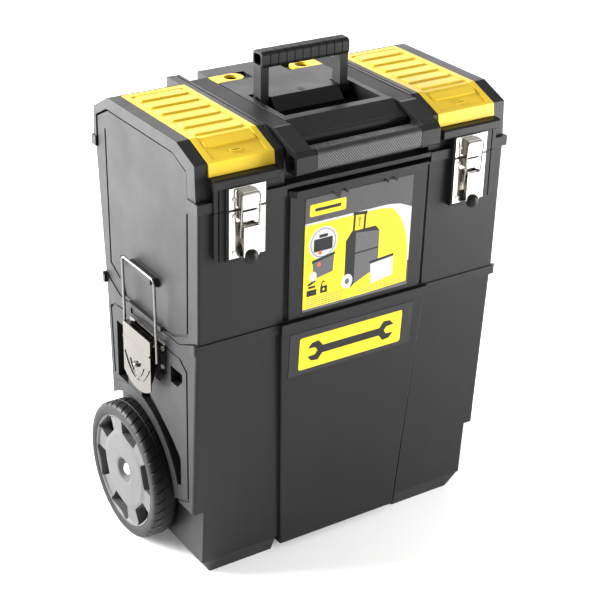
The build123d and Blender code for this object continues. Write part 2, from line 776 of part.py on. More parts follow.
with BuildPart() as lid_shell:
    prism_x(LID_PROFILE, (-LID_X, LID_X))
    block((-BAND_X, BAND_X), (BAND_FRONT, BAND_REAR), (LID_BASE_Z, BAND_TOP_Z))
    block((-118, 118), (85, 122), (540, LID_TOP_Z))
    for side in SIDES.values():
        prism_x(
            [(-116, 528), (-129.5, 528), (-131, 530), (-131, 538), (-128, WING_LIP_Z), (-116, WING_LIP_Z)],
            on_side(side, *WING_X),
        )
        block(on_side(side, 131, 197), (LATCH_BLOCK_FRONT, -116), (LID_BASE_Z, 529))
        block(on_side(side, 183, 200), (-135, -126.4), (500, 528), Mode.SUBTRACT)
        block(on_side(side, 190, 191.6), (-135, -123.4), (500, 528), Mode.SUBTRACT)
        # Seat for the organizer lid, with relief behind its hinge
        prism_x(
            [(WING_REAR_Y, 580), (WING_REAR_Y, 561.5), (77, 561.5), (77, 567.4), (-77.2, 567.4)]
            + [(-112.4, 553.4), (-113.6, WING_LIP_Z), (-140, WING_LIP_Z), (-140, 580)],
            on_side(side, *WING_X),
            Mode.SUBTRACT,
        )
        for span in WELL_SPANS:
            block(on_side(side, 117, 195), span, (WELL_FLOOR_Z, 580), Mode.SUBTRACT)
        rod_x(on_side(side, 111.5, 200.5), WING_HINGE_Y, WING_HINGE_Z, 2.06, Mode.SUBTRACT)
        # Hollow underside of the wings, and the end openings for the gables
        block(on_side(side, 104, 212), (-114.6, 124.6), (500, WELL_FLOOR_Z - WALL), Mode.SUBTRACT)
        gable_prism(GABLE_GAP, on_side(side, 203, 220), Mode.SUBTRACT)
    # Hollow underside of the centre, in steps under the decks
    block((-110, 110), (-104.6, 124.6), (500, 542), Mode.SUBTRACT)
    block((-44, 44), (0, 64), (500, 567.5), Mode.SUBTRACT)
    block((-64, 64), (-102, -69), (500, 561), Mode.SUBTRACT)
    # Front recess behind the pull grip, and the sill over the tool box shelf
    block((-101, 101), (-140, -108), (500, 580), Mode.SUBTRACT)
    block((-101, 101), (-124, -104), (508.6, 514))
    prism_x([(-90, 580), (-90, LID_TOP_Z), (-101, 568), (-107, 560), (-109, 550), (-140, 550), (-140, 580)],
            (-72, 72), Mode.SUBTRACT)
    # Pit for the folded carry handle, with channels for its posts
    block((-PIT_X, PIT_X), (-65, -17), (PIT_FLOOR_Z, 580), Mode.SUBTRACT)
    prism_x([(-3, LID_TOP_Z), (-17, 557), (-30, 557), (-30, 580), (-3, 580)], (-48, 48), Mode.SUBTRACT)
    for side in SIDES.values():
        block(on_side(side, 48, PIT_X), (-30, 16), (551, 580), Mode.SUBTRACT)
        block(on_side(side, 44, 72), (-24, 30), (500, 547.6), Mode.SUBTRACT)
        rod_x(on_side(side, 43, 71.5), CARRY_Y, CARRY_Z, 3.0, Mode.SUBTRACT)
        # Channels for the folded pull handle
        block(on_side(side, 75.3, 100.7), (-112, 130), (553.5, 580), Mode.SUBTRACT)
        block(on_side(side, 75.3, 100.7), (-112, -84), (543, 580), Mode.SUBTRACT)
        block(on_side(side, 77, 100), (-80, 120), (500, 550.5), Mode.SUBTRACT)
        rod_x(on_side(side, 70, 106), RAIL_PIVOT_Y, RAIL_Z, 3.0, Mode.SUBTRACT)
        # Slide lock seat
        block(on_side(side, 26, 76), (69.5, 94.5), (567.2, 580), Mode.SUBTRACT)
        block(on_side(side, 104.6, 106.6), (-84, 123), (568.8, 580), Mode.SUBTRACT)
    # Hinge at the rear seam
    knuckles(LID_KNUCKLES, (126.5, HINGE_Y), (LID_BASE_Z, 510))
    for low, high in BODY_KNUCKLES:
        block((low - 0.8, high + 0.8), (123, 142), (500, 512.4), Mode.SUBTRACT)
    rod_x((-175, 175), HINGE_Y, HINGE_Z, HINGE_PIN_RADIUS + 0.06, Mode.SUBTRACT)
save(lid_shell, "lid_shell")

with BuildPart() as lid_hinge_pin:
    rod_x((-172, 172), HINGE_Y, HINGE_Z, HINGE_PIN_RADIUS)
save(lid_hinge_pin, "lid_hinge_pin")

with BuildPart() as carry_handle_pins:
    for side in SIDES.values():
        rod_x(on_side(side, 44, 71), CARRY_Y, CARRY_Z, 3.0)
save(carry_handle_pins, "carry_handle_pins")

with BuildPart() as pull_handle_pins:
    for side in SIDES.values():
        rod_x(on_side(side, 71, 105.5), RAIL_PIVOT_Y, RAIL_Z, 3.0)
save(pull_handle_pins, "pull_handle_pins")


def make_organizer_lid(side):
    """Wing lid: plate that follows the chamfer, raised bars, a front lip and hinge stubs."""
    slope = degrees(atan2(LID_TOP_Z - 555.7, 115.6 - 76.4))
    x_mid = side * (WING_X[0] + WING_X[1]) / 2
    with BuildPart() as lid:
        prism_x(
            [(85.6, 571.4), (-76.6, 571.4), (-116.2, 556.0), (-118.6, WING_LIP_Z + 0.5)]
            + [(-115.6, WING_LIP_Z + 0.5), (-113.0, 554.2), (-77.0, 568.2), (85.6, 568.2)],
            on_side(side, WING_X[0] + 0.5, WING_X[1] - 0.5),
        )
        rod_x(on_side(side, WING_X[0] + 0.5, WING_X[1] - 0.5), WING_HINGE_Y, WING_HINGE_Z, 3.2)
        rod_x(on_side(side, 112, 200), WING_HINGE_Y, WING_HINGE_Z, 2.0)
        prism_x(
            [(76, 580), (76, 570.2), (-76.9, 570.2), (-112.2, 556.4), (-112.2, 580)],
            on_side(side, 121.5, 190.5),
            Mode.SUBTRACT,
        )
        for index in range(6):
            y = 64.5 - index * 25
            taper(
                (570.0, (x_mid - 32.5, x_mid + 32.5), (y - 9.5, y + 9.5)),
                (572.2, (x_mid - 30.5, x_mid + 30.5), (y - 7.5, y + 7.5)),
                3.0,
            )
        slope_plane = Plane(origin=(x_mid, -88.0, 565.5), x_dir=(1, 0, 0), z_dir=(0, -15.3, 39.2))
        with BuildSketch(slope_plane) as bar:
            RectangleRounded(63, 12, 3)
        extrude(bar.sketch, amount=2.0)
        with BuildSketch(slope_plane) as catch:
            with Locations((0, -16.5)):
                RectangleRounded(14, 4.5, 1)
        extrude(catch.sketch, amount=1.4)
        with BuildSketch(slope_plane.offset(-4)) as slot:
            with Locations((0, -16.5)):
                Rectangle(10, 1.6)
        extrude(slot.sketch, amount=8, mode=Mode.SUBTRACT)
    return lid


def make_slide_lock(side):
    """Yellow slide lock with a finger hole; its outer end stops short of the rail."""
    with BuildPart() as lock:
        with BuildSketch(Plane.XY.offset(567.5)) as plate:
            with Locations((side * 55.4, 82)):
                Rectangle(40, 24.2)
            fillet(plate.vertices().group_by(Axis.X)[0 if side > 0 else -1], 11)
            with Locations((side * 51, 82)):
                Circle(8.8, mode=Mode.SUBTRACT)
        extrude(plate.sketch, amount=3.7)
    return lock


for name, side in SIDES.items():
    save(make_organizer_lid(side), f"organizer_lid_{name}")
    save(make_slide_lock(side), f"slide_lock_{name}")


# ---------------------------------------------------------------- Carry handle

with BuildPart() as carry_handle:
    pitch = 2 * GRIP_HALF / RIBS
    with BuildSketch(Plane.YZ.offset(-GRIP_HALF)) as core:
        with Locations((CARRY_Y, CARRY_TOP_Z - 10)):
            RectangleRounded(19.6, 17.6, 5)
    extrude(core.sketch, amount=2 * GRIP_HALF)
    for index in range(RIBS):
        with BuildSketch(Plane.YZ.offset(-GRIP_HALF + index * pitch + 0.55)) as rib:
            with Locations((CARRY_Y, CARRY_TOP_Z - 10)):
                RectangleRounded(22, 20, 6)
        extrude(rib.sketch, amount=pitch - 1.1)
    for side in SIDES.values():
        with BuildSketch(Plane.YZ.offset(side * (GRIP_HALF + 1))) as hollow:
            with Locations((CARRY_Y, CARRY_TOP_Z - 10)):
                RectangleRounded(15, 13, 3.5)
        extrude(hollow.sketch, amount=-side * 9, mode=Mode.SUBTRACT)
        # Post, wider at its foot, rounded about the pin
        prism_x(
            [(-3, 610), (13, 610), (13, 585), (13.5, 563), (-3.5, 563), (-3, 585)],
            on_side(side, POST_X - 5.5, POST_X + 5.5),
        )
        rod_x(on_side(side, 49.6, 65.6), CARRY_Y, CARRY_Z, 8.5)
        rod_x(on_side(side, 48, 68), CARRY_Y, CARRY_Z, 3.06, Mode.SUBTRACT)
save(carry_handle, "carry_handle")


# ---------------------------------------------------------------- Pull handle


def make_rail(side):
    """Hollow rail that folds up about its rear pin."""
    x = side * RAIL_X
    half, low, high = RAIL_WIDTH / 2, RAIL_Z - RAIL_HEIGHT / 2, RAIL_Z + RAIL_HEIGHT / 2
    clear = 0.3
    with BuildPart() as rail:
        block((x - half, x + half), (RAIL_FRONT_Y, RAIL_PIVOT_Y), (low, high))
        rod_x((x - half, x + half), RAIL_PIVOT_Y, RAIL_Z, RAIL_HEIGHT / 2)
        block(
            (x - BAR_WIDTH / 2 - clear, x + BAR_WIDTH / 2 + clear),
            (RAIL_FRONT_Y - 1, BAR_REAR_Y + 3),
            (RAIL_Z - BAR_HEIGHT / 2 - clear, RAIL_Z + BAR_HEIGHT / 2 + clear),
            Mode.SUBTRACT,
        )
        rod_x((x - 13, x + 13), RAIL_PIVOT_Y, RAIL_Z, 3.06, Mode.SUBTRACT)
        block((x - 5, x + 5), (96, 105), (high - 1.2, high + 1), Mode.SUBTRACT)
    return rail


def make_pull_arm(side):
    """Inner bar, the arm that follows the lid chamfer and the grip's end block."""
    x = side * RAIL_X
    half = RAIL_WIDTH / 2
    front, rear = PULL_GRIP_Y
    low, high = PULL_GRIP_Z
    rail_top = RAIL_Z + RAIL_HEIGHT / 2
    with BuildPart() as arm:
        block(
            (x - BAR_WIDTH / 2, x + BAR_WIDTH / 2),
            (RAIL_FRONT_Y - 1, BAR_REAR_Y),
            (RAIL_Z - BAR_HEIGHT / 2, RAIL_Z + BAR_HEIGHT / 2),
        )
        prism_x(
            [(RAIL_FRONT_Y - 0.6, rail_top), (-92, rail_top), (front + 5, high + 0.6), (front, high - 5)]
            + [(front, low + 3), (front + 3, low), (rear - 3, low), (rear, low + 3)]
            + [(rear, 543), (-108, 548), (RAIL_FRONT_Y - 0.6, 556)],
            on_side(side, RAIL_X - half, RAIL_X + half),
        )
        prism_x(
            [(front + 5, high + 0.6), (front, high - 5), (front, low + 3), (front + 3, low)]
            + [(rear - 3, low), (rear, low + 3), (rear, high + 0.6)],
            on_side(side, PULL_GRIP_HALF + 0.6, RAIL_X),
        )
        with BuildSketch(Plane.YZ.offset(side * (RAIL_X + half))) as socket:
            with Locations(((front + rear) / 2, (low + high) / 2)):
                RectangleRounded(14, 16, 4)
        extrude(socket.sketch, amount=-side * 8, mode=Mode.SUBTRACT)
    return arm


for name, side in SIDES.items():
    save(make_rail(side), f"pull_rail_{name}")
    save(make_pull_arm(side), f"pull_arm_{name}")

with BuildPart() as pull_core:
    rod_x((-PULL_GRIP_HALF - 0.6, PULL_GRIP_HALF + 0.6), sum(PULL_GRIP_Y) / 2, sum(PULL_GRIP_Z) / 2, 8.0)
save(pull_core, "pull_grip_core")

with BuildPart() as pull_grip:
    front, rear = PULL_GRIP_Y
    low, high = PULL_GRIP_Z
    with BuildSketch(Plane.YZ.offset(-PULL_GRIP_HALF)) as grip_section:
        with Locations(((front + rear) / 2, (low + high) / 2)):
            RectangleRounded(rear - front, high - low, 7)
            Circle(8.0, mode=Mode.SUBTRACT)
    extrude(grip_section.sketch, amount=2 * PULL_GRIP_HALF)
save(pull_grip, "pull_grip_sleeve")


# ---------------------------------------------------------------- Labels


def label_plate(low, high, x, z):
    """A thin label on a panel face that runs between two (z, y) points."""

    def face_y(height):
        return low[1] + (high[1] - low[1]) * (height - low[0]) / (high[0] - low[0])

    prism_x(
        [(face_y(z[0]), z[0]), (face_y(z[1]), z[1]), (face_y(z[1]) - 0.5, z[1]), (face_y(z[0]) - 0.5, z[0])],
        x,
    )


with BuildPart() as toolbox_sticker:
    label_plate(BOX_PANEL_LOW, BOX_PANEL_HIGH, (-76, 76), (347, 491.5))
save(toolbox_sticker, "toolbox_sticker")

with BuildPart() as bin_label:
    label_plate((BIN_FLOOR_Z, -105.2), (BIN_RIM_Z + 1, PANEL_HIGH_Y), (-92, 88), (262, 321))
save(bin_label, "bin_label")
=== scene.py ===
"""Looks for the rolling tool box: materials, labels, tread and small moulded details.

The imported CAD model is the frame. Metres, +Z up, the front faces -Y.
"""

import math

import bmesh
import bpy
from mathutils import Matrix, Vector


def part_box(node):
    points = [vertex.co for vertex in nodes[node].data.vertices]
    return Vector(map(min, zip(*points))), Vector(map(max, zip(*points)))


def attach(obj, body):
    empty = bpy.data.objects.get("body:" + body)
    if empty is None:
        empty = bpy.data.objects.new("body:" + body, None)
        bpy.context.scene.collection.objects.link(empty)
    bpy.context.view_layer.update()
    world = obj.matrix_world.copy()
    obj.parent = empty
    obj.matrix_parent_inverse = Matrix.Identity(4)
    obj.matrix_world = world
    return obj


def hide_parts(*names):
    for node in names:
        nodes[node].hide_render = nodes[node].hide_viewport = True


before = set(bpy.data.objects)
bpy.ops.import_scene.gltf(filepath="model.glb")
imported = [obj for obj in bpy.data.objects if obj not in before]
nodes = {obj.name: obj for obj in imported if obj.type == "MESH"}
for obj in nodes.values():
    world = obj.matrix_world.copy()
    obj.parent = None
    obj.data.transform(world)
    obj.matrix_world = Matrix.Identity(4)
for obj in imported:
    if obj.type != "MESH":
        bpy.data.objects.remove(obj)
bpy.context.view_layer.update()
SIDES = {"left": -1, "right": 1}
MM = 0.001

# Colours, linear
DARK = (0.006, 0.006, 0.0062)
LID_DARK = (0.008, 0.008, 0.0082)
HANDLE_DARK = (0.004, 0.004, 0.0042)
HUB_GREY = (0.072, 0.072, 0.072)
TYRE_BLACK = (0.004, 0.0038, 0.0036)
YELLOW = (0.73, 0.50, 0.026)
NICKEL = (0.72, 0.70, 0.66)
# Painted shade: the same nickel, darkened for the side latches because that side is lit much harder
SIDE_NICKEL_SHADED = (0.105, 0.098, 0.088)
STEEL = (0.58, 0.57, 0.56)


# ---------------------------------------------------------------- Materials


class Shader:
    """A node material with short helpers for the links it needs."""

    def __init__(self, name):
        self.material = bpy.data.materials.new(name)
        self.material.use_nodes = True
        self.tree = self.material.node_tree
        self.tree.nodes.clear()
        self.output = self.add("ShaderNodeOutputMaterial")
        self.bsdf = self.add("ShaderNodeBsdfPrincipled")
        self.link(self.bsdf, "BSDF", self.output, "Surface")
        self.coords = self.add("ShaderNodeTexCoord")

    def add(self, kind, **settings):
        node = self.tree.nodes.new(kind)
        for key, value in settings.items():
            setattr(node, key, value)
        return node

    def link(self, source, out_name, target, in_name):
        self.tree.links.new(source.outputs[out_name], target.inputs[in_name])

    def mapping(self, scale, rotation=(0, 0, 0)):
        node = self.add("ShaderNodeMapping")
        node.inputs["Scale"].default_value = scale
        node.inputs["Rotation"].default_value = rotation
        self.link(self.coords, "Object", node, "Vector")
        return node

    def noise(self, scale, detail=2.0, stretch=(1, 1, 1), rough=0.5):
        node = self.add("ShaderNodeTexNoise")
        node.inputs["Scale"].default_value = scale
        node.inputs["Detail"].default_value = detail
        node.inputs["Roughness"].default_value = rough
        self.link(self.mapping(stretch), "Vector", node, "Vector")
        return node

    def ramp(self, source, out_name, low, high, low_value, high_value):
        node = self.add("ShaderNodeMapRange")
        node.inputs["From Min"].default_value = low
        node.inputs["From Max"].default_value = high
        node.inputs["To Min"].default_value = low_value
        node.inputs["To Max"].default_value = high_value
        self.link(source, out_name, node, "Value")
        return node

    def math(self, operation, a, b):
        node = self.add("ShaderNodeMath", operation=operation)
        for index, value in enumerate((a, b)):
            if isinstance(value, (int, float)):
                node.inputs[index].default_value = value
            else:
                self.tree.links.new(value.outputs[0], node.inputs[index])
        return node

    def mix(self, factor, first, second):
        node = self.add("ShaderNodeMix", data_type="RGBA")
        self.tree.links.new(factor.outputs[0], node.inputs["Factor"])
        for socket, value in ((node.inputs[6], first), (node.inputs[7], second)):
            if isinstance(value, tuple):
                socket.default_value = (*value, 1)
            else:
                self.tree.links.new(value.outputs[2], socket)
        return node

    def soft_edges(self, radius):
        """A rounded shading normal on hard edges."""
        bevel = self.add("ShaderNodeBevel", samples=4)
        bevel.inputs["Radius"].default_value = radius
        return bevel

    def edge_mask(self, bevel, reach):
        """White along edges, where the rounded normal leaves the face's own: real wear on plastic, painted
        shade on metal.
        """
        geometry = self.add("ShaderNodeNewGeometry")
        dot = self.add("ShaderNodeVectorMath", operation="DOT_PRODUCT")
        self.link(bevel, "Normal", dot, 0)
        self.link(geometry, "True Normal", dot, 1)
        return self.ramp(dot, "Value", 1.0, reach, 0.0, 1.0)

    def facing(self, axis, low, high):
        """White on faces that look along an axis of the piece, either way."""
        dot = self.add("ShaderNodeVectorMath", operation="DOT_PRODUCT")
        self.link(self.coords, "Normal", dot, 0)
        dot.inputs[1].default_value = axis
        size = self.add("ShaderNodeMath", operation="ABSOLUTE")
        self.link(dot, "Value", size, 0)
        return self.ramp(size, 0, low, high, 0.0, 1.0)

    def bump(self, height, strength, distance, normal=None):
        node = self.add("ShaderNodeBump")
        node.inputs["Strength"].default_value = strength
        node.inputs["Distance"].default_value = distance
        self.tree.links.new(height.outputs[0], node.inputs["Height"])
        if normal:
            self.link(normal, "Normal", node, "Normal")
        return node


def tint(colour, factor):
    return tuple(min(1.0, channel * factor) for channel in colour)


def moulded_plastic(name, colour, rough=0.42, grain=1400, grain_depth=0.35, wear=0.5, streaks=0.5):
    """Injection-moulded plastic: spark-eroded grain, flow streaks, handling wear on edges."""
    s = Shader(name)
    broad = s.ramp(s.noise(5.0, 3.0), 0, 0.3, 0.7, 0.0, 1.0)
    flow = s.ramp(s.noise(1.0, 2.0, (70, 70, 2.4)), 0, 0.35, 0.65, 0.0, streaks)
    shade = s.math("MULTIPLY", s.math("ADD", broad, flow), 0.6)
    base = s.mix(shade, tint(colour, 0.88), tint(colour, 1.14))
    bevel = s.soft_edges(0.0006)
    # Handling wear: lighter patches along the edges of the plastic
    patchy = s.ramp(s.noise(160, 3.0), 0, 0.42, 0.66, 0.0, wear)
    edge_wear_and_shade = s.math("MULTIPLY", s.edge_mask(bevel, 0.8), patchy)
    lit = tuple(channel * 1.5 + 0.015 for channel in colour)
    s.tree.links.new(s.mix(edge_wear_and_shade, base, lit).outputs[2], s.bsdf.inputs["Base Color"])
    smudge = s.ramp(s.noise(14, 4.0, rough=0.6), 0, 0.3, 0.7, rough - 0.05, rough + 0.07)
    scuffs = s.ramp(s.noise(1.0, 5.0, (900, 900, 60)), 0, 0.56, 0.7, 0.0, 0.05)
    s.tree.links.new(s.math("ADD", smudge, scuffs).outputs[0], s.bsdf.inputs["Roughness"])
    height = s.noise(grain, 3.0, rough=0.6)
    s.link(s.bump(height, grain_depth, 0.00012, bevel), "Normal", s.bsdf, "Normal")
    s.bsdf.inputs["IOR"].default_value = 1.30
    return s.material


def plated_metal(name, colour, rough=0.14, brushed=0.25, dent=0.2, edge=0.75, shade_axis=None):
    """Plated or plain pressed steel: slight sheet waviness, fine lines, and painted shade in dark bronze
    on the edges and on the cheeks that face one axis.
    """
    s = Shader(name)
    bevel = s.soft_edges(0.0008)
    cloud = s.ramp(s.noise(22, 3.0), 0, 0.3, 0.7, 0.0, 1.0)
    base = s.mix(cloud, tint(colour, 0.93), tint(colour, 1.06))
    # Dark bronze, the colour of the painted shade below
    painted_shade_bronze = tuple(channel * share for channel, share in zip(colour, (0.09, 0.07, 0.055)))
    # Painted shade: faces that look along the shade axis, either way, turn dark bronze
    if shade_axis:
        base = s.mix(s.math("MULTIPLY", s.facing(shade_axis, 0.45, 0.85), 0.9), base, painted_shade_bronze)
    # Painted shade: a dark bronze band along the edges, as strong as the edge parameter
    edge_wear_and_shade = s.edge_mask(bevel, 0.75)
    shadowed = s.mix(s.math("MULTIPLY", edge_wear_and_shade, edge), base, painted_shade_bronze)
    s.tree.links.new(shadowed.outputs[2], s.bsdf.inputs["Base Color"])
    s.bsdf.inputs["Metallic"].default_value = 1.0
    lines = s.ramp(s.noise(1.0, 3.0, (2600, 2600, 90)), 0, 0.35, 0.65, 0.0, 0.05)
    smudge = s.ramp(s.noise(60, 4.0, rough=0.65), 0, 0.35, 0.75, rough, rough + 0.12)
    s.tree.links.new(s.math("ADD", smudge, lines).outputs[0], s.bsdf.inputs["Roughness"])
    sheet = s.noise(55, 2.0)
    waves = s.bump(sheet, dent, 0.0012, bevel)
    fine = s.bump(s.noise(1.0, 2.0, (2600, 2600, 90)), brushed, 0.00003, waves)
    s.link(fine, "Normal", s.bsdf, "Normal")
    return s.material


def diagonal_grip(name, colour):
    """Plastic with fine raised diagonal lines moulded into it, and painted shade in the valleys between
    them.
    """
    s = Shader(name)
    bevel = s.soft_edges(0.0012)
    lines = s.add("ShaderNodeTexWave", wave_type="BANDS", bands_direction="X", wave_profile="SIN")
    lines.inputs["Scale"].default_value = 150
    lines.inputs["Distortion"].default_value = 0.0
    s.link(s.mapping((1, 1, 1), (0, math.radians(38), math.radians(30))), "Vector", lines, "Vector")
    ridges = s.ramp(lines, "Fac", 0.25, 0.75, 0.0, 1.0)
    broad = s.ramp(s.noise(9, 3.0), 0, 0.3, 0.7, 0.0, 1.0)
    base = s.mix(broad, tint(colour, 0.85), tint(colour, 1.2))
    # Painted shade: darker colour in the valleys between the ridges
    shade = s.math("MULTIPLY", s.math("SUBTRACT", 1.0, ridges), 0.55)
    s.tree.links.new(s.mix(shade, base, tint(colour, 0.45)).outputs[2], s.bsdf.inputs["Base Color"])
    rough = s.ramp(s.noise(40, 3.0), 0, 0.3, 0.7, 0.38, 0.52)
    s.tree.links.new(rough.outputs[0], s.bsdf.inputs["Roughness"])
    coarse = s.bump(ridges, 0.8, 0.0004, bevel)
    s.link(s.bump(s.noise(1500, 2.0), 0.25, 0.0001, coarse), "Normal", s.bsdf, "Normal")
    return s.material


def printed_film(name, colour, rough=0.28, cracked=0.0, wavy=0.12, ior=1.32):
    """Printed label film: ink mottle, slight orange peel, a few scuffs."""
    s = Shader(name)
    mottle = s.ramp(s.noise(420, 3.0), 0, 0.35, 0.65, 0.0, 1.0)
    base = s.mix(mottle, tint(colour, 0.94), tint(colour, 1.04))
    scuff = s.ramp(s.noise(1.0, 5.0, (240, 240, 700)), 0, 0.62, 0.8, 0.0, 0.1 + cracked)
    lit = tuple(channel * 0.8 + 0.12 for channel in colour)
    s.tree.links.new(s.mix(scuff, base, lit).outputs[2], s.bsdf.inputs["Base Color"])
    sheen = s.ramp(s.noise(30, 3.0), 0, 0.3, 0.7, rough - 0.04, rough + 0.1)
    s.tree.links.new(sheen.outputs[0], s.bsdf.inputs["Roughness"])
    s.link(s.bump(s.noise(38, 2.0), wavy, 0.0016), "Normal", s.bsdf, "Normal")
    s.bsdf.inputs["IOR"].default_value = ior
    return s.material


body_plastic = moulded_plastic("body_plastic", DARK, 0.44, streaks=0.8)
lid_plastic = moulded_plastic("lid_plastic", LID_DARK, 0.40)
handle_plastic = moulded_plastic("handle_plastic", HANDLE_DARK, 0.52, grain_depth=0.25)
hub_plastic = moulded_plastic("hub_plastic", HUB_GREY, 0.5, wear=0.25)
tyre_plastic = moulded_plastic("tyre_plastic", TYRE_BLACK, 0.5, grain=700, grain_depth=0.5, wear=0.6)
yellow_plastic = moulded_plastic("yellow_plastic", YELLOW, 0.38, grain_depth=0.15, wear=0.3, streaks=0.2)
grip_plastic = diagonal_grip("grip_plastic", tint(DARK, 1.2))
latch_steel = plated_metal("latch_steel", NICKEL, 0.09, shade_axis=(1, 0, 0))
# Painted shade: the side latches and their ribs take the darkened copy of the nickel
shaded_side_latch_steel = plated_metal("shaded_side_latch_steel", SIDE_NICKEL_SHADED, 0.08, shade_axis=(0, 1, 0))
loop_steel = plated_metal("loop_steel", tint(NICKEL, 0.16), 0.1, edge=0.2, shade_axis=(0, 1, 0))
wire_steel = plated_metal("wire_steel", tint(NICKEL, 0.45), 0.12, dent=0.1, edge=0.2, shade_axis=(1, 0, 0))
# Painted shade: the side bails get a darker copy of the front bails' wire steel, for the brightly lit side
shaded_side_wire_steel = plated_metal("shaded_side_wire_steel", tint(NICKEL, 0.2), 0.1, dent=0.1, edge=0.2)
pin_steel = plated_metal("pin_steel", STEEL, 0.26)
label_grey = printed_film("label_grey", (0.055, 0.055, 0.057))
label_black = printed_film("label_black", (0.004, 0.004, 0.004), 0.12, 0.05, 1.0, ior=1.42)
label_yellow = printed_film("label_yellow", (0.66, 0.51, 0.016), 0.3)
label_pale = printed_film("label_pale", (0.42, 0.42, 0.43), 0.3)
label_mid = printed_film("label_mid", (0.085, 0.085, 0.088), 0.3)
label_ink = printed_film("label_ink", (0.007, 0.007, 0.007), 0.3)
label_red = printed_film("label_red", (0.62, 0.10, 0.03), 0.3)

# Material, single nodes, stems of the nodes that exist once per side
CAD_MATERIALS = [
    (body_plastic, ["bin_shell", "toolbox_shell"], []),
    (lid_plastic, ["lid_shell"], ["pull_arm"]),
    (handle_plastic, ["carry_handle", "pull_grip_core"], ["pull_rail", "latch_tip"]),
    (grip_plastic, ["pull_grip_sleeve"], []),
    (hub_plastic, [], ["wheel_hub_cover", "wheel_rim"]),
    (yellow_plastic, [], ["organizer_lid", "slide_lock"]),
    (tyre_plastic, [], ["wheel_tyre"]),
    (latch_steel, [], ["latch_base", "latch_keeper", "latch_lever"]),
    (shaded_side_latch_steel, [], ["side_latch_base", "side_latch_lever"]),
    (wire_steel, [], ["latch_bail", "padlock_staple"]),
    (shaded_side_wire_steel, [], ["side_latch_bail"]),
    (pin_steel, ["axle", "axle_caps", "carry_handle_pins", "pull_handle_pins", "lid_hinge_pin"], []),
    (pin_steel, ["latch_pins", "latch_keeper_rivets", "side_latch_pins"], []),
    (label_grey, ["toolbox_sticker"], []),
    (label_black, ["bin_label"], []),
]
for material, names, stems in CAD_MATERIALS:
    sided = [f"{stem}_{side_name}" for side_name in SIDES for stem in stems]
    for node_name in names + sided:
        slots = nodes[node_name].data.materials
        slots.clear()
        slots.append(material)


# ---------------------------------------------------------------- Mesh helpers

SHARP_ANGLE = 0.6
DISC_STEPS = 40


def mesh_piece(name, vertices, faces, material, body):
    """A new mesh piece, riding on a body."""
    mesh = bpy.data.meshes.new(name)
    mesh.from_pydata([tuple(v) for v in vertices], [], faces)
    mesh.update()
    piece = bpy.data.objects.new(name, mesh)
    bpy.context.scene.collection.objects.link(piece)
    mesh.materials.append(material)
    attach(piece, body)
    return piece


def slab(name, outline, place, thickness, material, body):
    """A thin plate: an outline of (u, v) points put in space by place(u, v, height)."""
    count = len(outline)
    vertices = [place(u, v, 0.0) for u, v in outline] + [place(u, v, thickness) for u, v in outline]
    faces = [tuple(reversed(range(count))), tuple(range(count, 2 * count))]
    faces += [(i, (i + 1) % count, count + (i + 1) % count, count + i) for i in range(count)]
    piece = mesh_piece(name, vertices, faces, material, body)
    mesh = bmesh.new()
    mesh.from_mesh(piece.data)
    bmesh.ops.recalc_face_normals(mesh, faces=mesh.faces)
    mesh.to_mesh(piece.data)
    mesh.free()
    return piece


def rounded(u0, v0, u1, v1, radius, steps=6):
    """A rounded rectangle outline."""
    corners = [(u1 - radius, v1 - radius, 0), (u0 + radius, v1 - radius, 90)]
    corners += [(u0 + radius, v0 + radius, 180), (u1 - radius, v0 + radius, 270)]
    points = []
    for cu, cv, start in corners:
        for step in range(steps + 1):
            angle = math.radians(start + 90 * step / steps)
            points.append((cu + radius * math.cos(angle), cv + radius * math.sin(angle)))
    return points


def finish_mesh(piece):
    """Outward normals, smooth faces and sharp edges where the angle is large."""
    mesh = bmesh.new()
    mesh.from_mesh(piece.data)
    bmesh.ops.recalc_face_normals(mesh, faces=mesh.faces)
    for face in mesh.faces:
        face.smooth = True
    for edge in mesh.edges:
        edge.smooth = edge.calc_face_angle(0.0) < SHARP_ANGLE
    mesh.to_mesh(piece.data)
    mesh.free()


def ring_mesh(name, rings, material, body):
    """Rings of points joined to each other in order, with a cap on the first and the last."""
    count = len(rings[0])
    vertices = [point for ring in rings for point in ring]
    faces = []
    for row in range(len(rings) - 1):
        for i in range(count):
            a, b = row * count + i, row * count + (i + 1) % count
            faces.append((a, b, b + count, a + count))
    faces.append(tuple(range(count)))
    faces.append(tuple(range((len(rings) - 1) * count, len(rings) * count)))
    piece = mesh_piece(name, vertices, faces, material, body)
    finish_mesh(piece)
    return piece


# ---------------------------------------------------------------- Tyres

CUTS = 40
CUT_LEAN = 0.035
# Along the tread within one pitch: share of the pitch, share of the cut's depth
CUT_COLUMNS = [(0.0, 0.0), (0.05, 1.0), (0.13, 1.0), (0.18, 0.0), (0.38, 0.0), (0.6, 0.0), (0.8, 0.0)]
# Across the tread in mm: distance from the inner face, radius below the crown, depth of the cuts there
TYRE_ROWS = [
    (0.0, 15.4, 0.0),
    (0.0, 9.0, 0.0),
    (0.1, 3.5, 0.0),
    (1.0, 1.6, 0.4),
    (2.4, 0.7, 0.7),
    (5.0, 0.0, 0.7),
    (10.0, 0.0, 0.7),
    (14.0, 0.0, 0.7),
    (14.4, 0.0, 0.0),
    (14.8, 0.9, 0.0),
    (15.8, 0.9, 0.0),
    (16.2, 0.0, 0.0),
    (16.6, 0.0, 1.3),
    (20.0, 0.0, 1.4),
    (24.0, 0.1, 1.4),
    (26.6, 0.5, 1.4),
    (28.6, 1.5, 1.3),
    (29.9, 3.0, 1.0),
    (30.5, 4.4, 0.4),
    (30.8, 5.6, 0.0),
    (31.0, 8.0, 0.0),
    (30.9, 12.0, 0.0),
    (30.2, 14.2, 0.0),
    (29.6, 15.4, 0.0),
]


